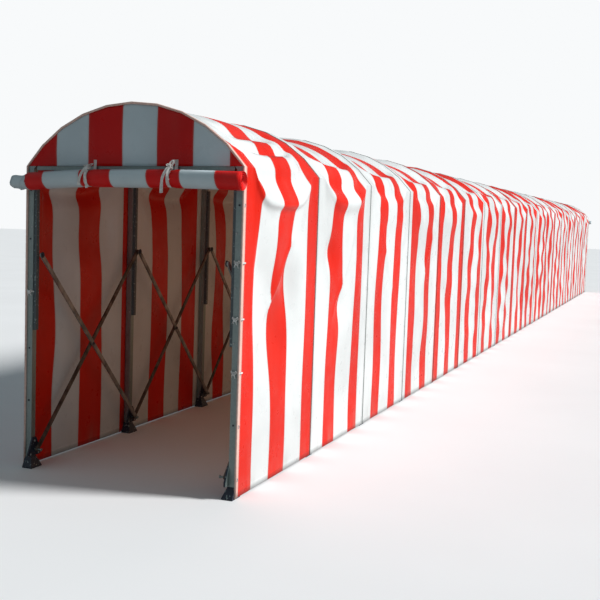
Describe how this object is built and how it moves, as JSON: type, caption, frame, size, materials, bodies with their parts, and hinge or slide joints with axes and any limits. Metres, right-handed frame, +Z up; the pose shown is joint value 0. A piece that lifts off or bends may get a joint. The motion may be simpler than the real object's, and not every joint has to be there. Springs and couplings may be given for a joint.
{
  "type": "concertina tunnel tent",
  "caption": "Long walk-through tunnel tent with a striped cover on arched hoop frames that slide together on scissor braces, with a rolled-up curtain over each doorway.",
  "frame": {"origin": "middle of the footprint, on the ground", "axes": "+Z up, +Y along the tunnel from its front end to its rear end, +X to the right seen from the front end"},
  "size_m": [1.7, 23.7154, 2.4275],
  "materials": {
    "steel": "galvanised, dull grey with a slight green cast",
    "cover": "coated fabric in red and white cross stripes, semi-gloss",
    "gable": "coated fabric in red and white upright stripes, semi-gloss",
    "curtain": "coated fabric in red and white stripes, rolled up",
    "webbing": "white woven tape"
  },
  "bodies": {
    "rear_end": {"hoop_frame_18": "steel", "cover": "cover", "rear_crossbar": "steel", "rear_gable": "gable", "rear_curtain_roll": "curtain", "rear_tie_left": "webbing", "rear_tie_right": "webbing"},
    "front_end": {"hoop_frame_00": "steel", "front_crossbar": "steel", "front_gable": "gable", "front_curtain_roll": "curtain", "front_tie_left": "webbing", "front_tie_right": "webbing"},
    "hoop_01": {"hoop_frame_01": "steel"},
    "hoop_02": {"hoop_frame_02": "steel"},
    "hoop_03": {"hoop_frame_03": "steel"},
    "hoop_04": {"hoop_frame_04": "steel"},
    "hoop_05": {"hoop_frame_05": "steel"},
    "hoop_06": {"hoop_frame_06": "steel"},
    "hoop_07": {"hoop_frame_07": "steel"},
    "hoop_08": {"hoop_frame_08": "steel"},
    "hoop_09": {"hoop_frame_09": "steel"},
    "hoop_10": {"hoop_frame_10": "steel"},
    "hoop_11": {"hoop_frame_11": "steel"},
    "hoop_12": {"hoop_frame_12": "steel"},
    "hoop_13": {"hoop_frame_13": "steel"},
    "hoop_14": {"hoop_frame_14": "steel"},
    "hoop_15": {"hoop_frame_15": "steel"},
    "hoop_16": {"hoop_frame_16": "steel"},
    "hoop_17": {"hoop_frame_17": "steel"},
    "brace_a_01": {"brace_a_01_left": "steel", "brace_a_01_right": "steel"},
    "brace_b_01": {"brace_b_01_left": "steel", "brace_b_01_right": "steel"},
    "brace_a_02": {"brace_a_02_left": "steel", "brace_a_02_right": "steel"},
    "brace_b_02": {"brace_b_02_left": "steel", "brace_b_02_right": "steel"},
    "brace_a_03": {"brace_a_03_left": "steel", "brace_a_03_right": "steel"},
    "brace_b_03": {"brace_b_03_left": "steel", "brace_b_03_right": "steel"},
    "brace_a_04": {"brace_a_04_left": "steel", "brace_a_04_right": "steel"},
    "brace_b_04": {"brace_b_04_left": "steel", "brace_b_04_right": "steel"}
  },
  "joints": [
    {"name": "fold", "type": "slide", "parent": "rear_end", "child": "front_end", "axis": [0, 1, 0], "range_m": [0, 19.44], "deforming": ["cover"]},
    {"name": "hoop_01_slide", "type": "slide", "parent": "rear_end", "child": "hoop_01", "axis": [0, 1, 0], "range_m": [0, 18.362]},
    {"name": "hoop_02_slide", "type": "slide", "parent": "rear_end", "child": "hoop_02", "axis": [0, 1, 0], "range_m": [0, 17.282]},
    {"name": "hoop_03_slide", "type": "slide", "parent": "rear_end", "child": "hoop_03", "axis": [0, 1, 0], "range_m": [0, 16.202]},
    {"name": "hoop_04_slide", "type": "slide", "parent": "rear_end", "child": "hoop_04", "axis": [0, 1, 0], "range_m": [0, 15.122]},
    {"name": "hoop_05_slide", "type": "slide", "parent": "rear_end", "child": "hoop_05", "axis": [0, 1, 0], "range_m": [0, 14.042]},
    {"name": "hoop_06_slide", "type": "slide", "parent": "rear_end", "child": "hoop_06", "axis": [0, 1, 0], "range_m": [0, 12.962]},
    {"name": "hoop_07_slide", "type": "slide", "parent": "rear_end", "child": "hoop_07", "axis": [0, 1, 0], "range_m": [0, 11.882]},
    {"name": "hoop_08_slide", "type": "slide", "parent": "rear_end", "child": "hoop_08", "axis": [0, 1, 0], "range_m": [0, 10.802]},
    {"name": "hoop_09_slide", "type": "slide", "parent": "rear_end", "child": "hoop_09", "axis": [0, 1, 0], "range_m": [0, 9.722]},
    {"name": "hoop_10_slide", "type": "slide", "parent": "rear_end", "child": "hoop_10", "axis": [0, 1, 0], "range_m": [0, 8.642]},
    {"name": "hoop_11_slide", "type": "slide", "parent": "rear_end", "child": "hoop_11", "axis": [0, 1, 0], "range_m": [0, 7.562]},
    {"name": "hoop_12_slide", "type": "slide", "parent": "rear_end", "child": "hoop_12", "axis": [0, 1, 0], "range_m": [0, 6.482]},
    {"name": "hoop_13_slide", "type": "slide", "parent": "rear_end", "child": "hoop_13", "axis": [0, 1, 0], "range_m": [0, 5.402]},
    {"name": "hoop_14_slide", "type": "slide", "parent": "rear_end", "child": "hoop_14", "axis": [0, 1, 0], "range_m": [0, 4.322]},
    {"name": "hoop_15_slide", "type": "slide", "parent": "rear_end", "child": "hoop_15", "axis": [0, 1, 0], "range_m": [0, 3.242]},
    {"name": "hoop_16_slide", "type": "slide", "parent": "rear_end", "child": "hoop_16", "axis": [0, 1, 0], "range_m": [0, 2.162]},
    {"name": "hoop_17_slide", "type": "slide", "parent": "rear_end", "child": "hoop_17", "axis": [0, 1, 0], "range_m": [0, 1.082]},
    {"name": "brace_a_01_hinge", "type": "hinge", "parent": "front_end", "child": "brace_a_01", "pos_m": [0, -11.7, 0.125], "axis": [1, 0, 0], "range_deg": [0, 37.79]},
    {"name": "brace_b_01_hinge", "type": "hinge", "parent": "hoop_01", "child": "brace_b_01", "pos_m": [0, -10.4, 0.125], "axis": [1, 0, 0], "range_deg": [-37.79, 0]},
    {"name": "brace_a_02_hinge", "type": "hinge", "parent": "hoop_01", "child": "brace_a_02", "pos_m": [0, -10.4, 0.125], "axis": [1, 0, 0], "range_deg": [0, 37.79]},
    {"name": "brace_b_02_hinge", "type": "hinge", "parent": "hoop_02", "child": "brace_b_02", "pos_m": [0, -9.1, 0.125], "axis": [1, 0, 0], "range_deg": [-37.79, 0]},
    {"name": "brace_a_03_hinge", "type": "hinge", "parent": "hoop_02", "child": "brace_a_03", "pos_m": [0, -9.1, 0.125], "axis": [1, 0, 0], "range_deg": [0, 37.79]},
    {"name": "brace_b_03_hinge", "type": "hinge", "parent": "hoop_03", "child": "brace_b_03", "pos_m": [0, -7.8, 0.125], "axis": [1, 0, 0], "range_deg": [-37.79, 0]},
    {"name": "brace_a_04_hinge", "type": "hinge", "parent": "hoop_03", "child": "brace_a_04", "pos_m": [0, -7.8, 0.125], "axis": [1, 0, 0], "range_deg": [0, 37.79]},
    {"name": "brace_b_04_hinge", "type": "hinge", "parent": "hoop_04", "child": "brace_b_04", "pos_m": [0, -6.5, 0.125], "axis": [1, 0, 0], "range_deg": [-37.79, 0]}
  ],
  "couplings": [
    {"joint": "hoop_01_slide", "follows": "fold", "ratio": 0.94444},
    {"joint": "hoop_02_slide", "follows": "fold", "ratio": 0.88889},
    {"joint": "hoop_03_slide", "follows": "fold", "ratio": 0.83333},
    {"joint": "hoop_04_slide", "follows": "fold", "ratio": 0.77778},
    {"joint": "hoop_05_slide", "follows": "fold", "ratio": 0.72222},
    {"joint": "hoop_06_slide", "follows": "fold", "ratio": 0.66667},
    {"joint": "hoop_07_slide", "follows": "fold", "ratio": 0.61111},
    {"joint": "hoop_08_slide", "follows": "fold", "ratio": 0.55556},
    {"joint": "hoop_09_slide", "follows": "fold", "ratio": 0.5},
    {"joint": "hoop_10_slide", "follows": "fold", "ratio": 0.44444},
    {"joint": "hoop_11_slide", "follows": "fold", "ratio": 0.38889},
    {"joint": "hoop_12_slide", "follows": "fold", "ratio": 0.33333},
    {"joint": "hoop_13_slide", "follows": "fold", "ratio": 0.27778},
    {"joint": "hoop_14_slide", "follows": "fold", "ratio": 0.22222},
    {"joint": "hoop_15_slide", "follows": "fold", "ratio": 0.16667},
    {"joint": "hoop_16_slide", "follows": "fold", "ratio": 0.11111},
    {"joint": "hoop_17_slide", "follows": "fold", "ratio": 0.055556},
    {"joint": "brace_a_01_hinge", "follows": "fold", "rad_per_m": 0.033886},
    {"joint": "brace_b_01_hinge", "follows": "fold", "rad_per_m": -0.033886},
    {"joint": "brace_a_02_hinge", "follows": "fold", "rad_per_m": 0.033886},
    {"joint": "brace_b_02_hinge", "follows": "fold", "rad_per_m": -0.033886},
    {"joint": "brace_a_03_hinge", "follows": "fold", "rad_per_m": 0.033886},
    {"joint": "brace_b_03_hinge", "follows": "fold", "rad_per_m": -0.033886},
    {"joint": "brace_a_04_hinge", "follows": "fold", "rad_per_m": 0.033886},
    {"joint": "brace_b_04_hinge", "follows": "fold", "rad_per_m": -0.033886}
  ]
}
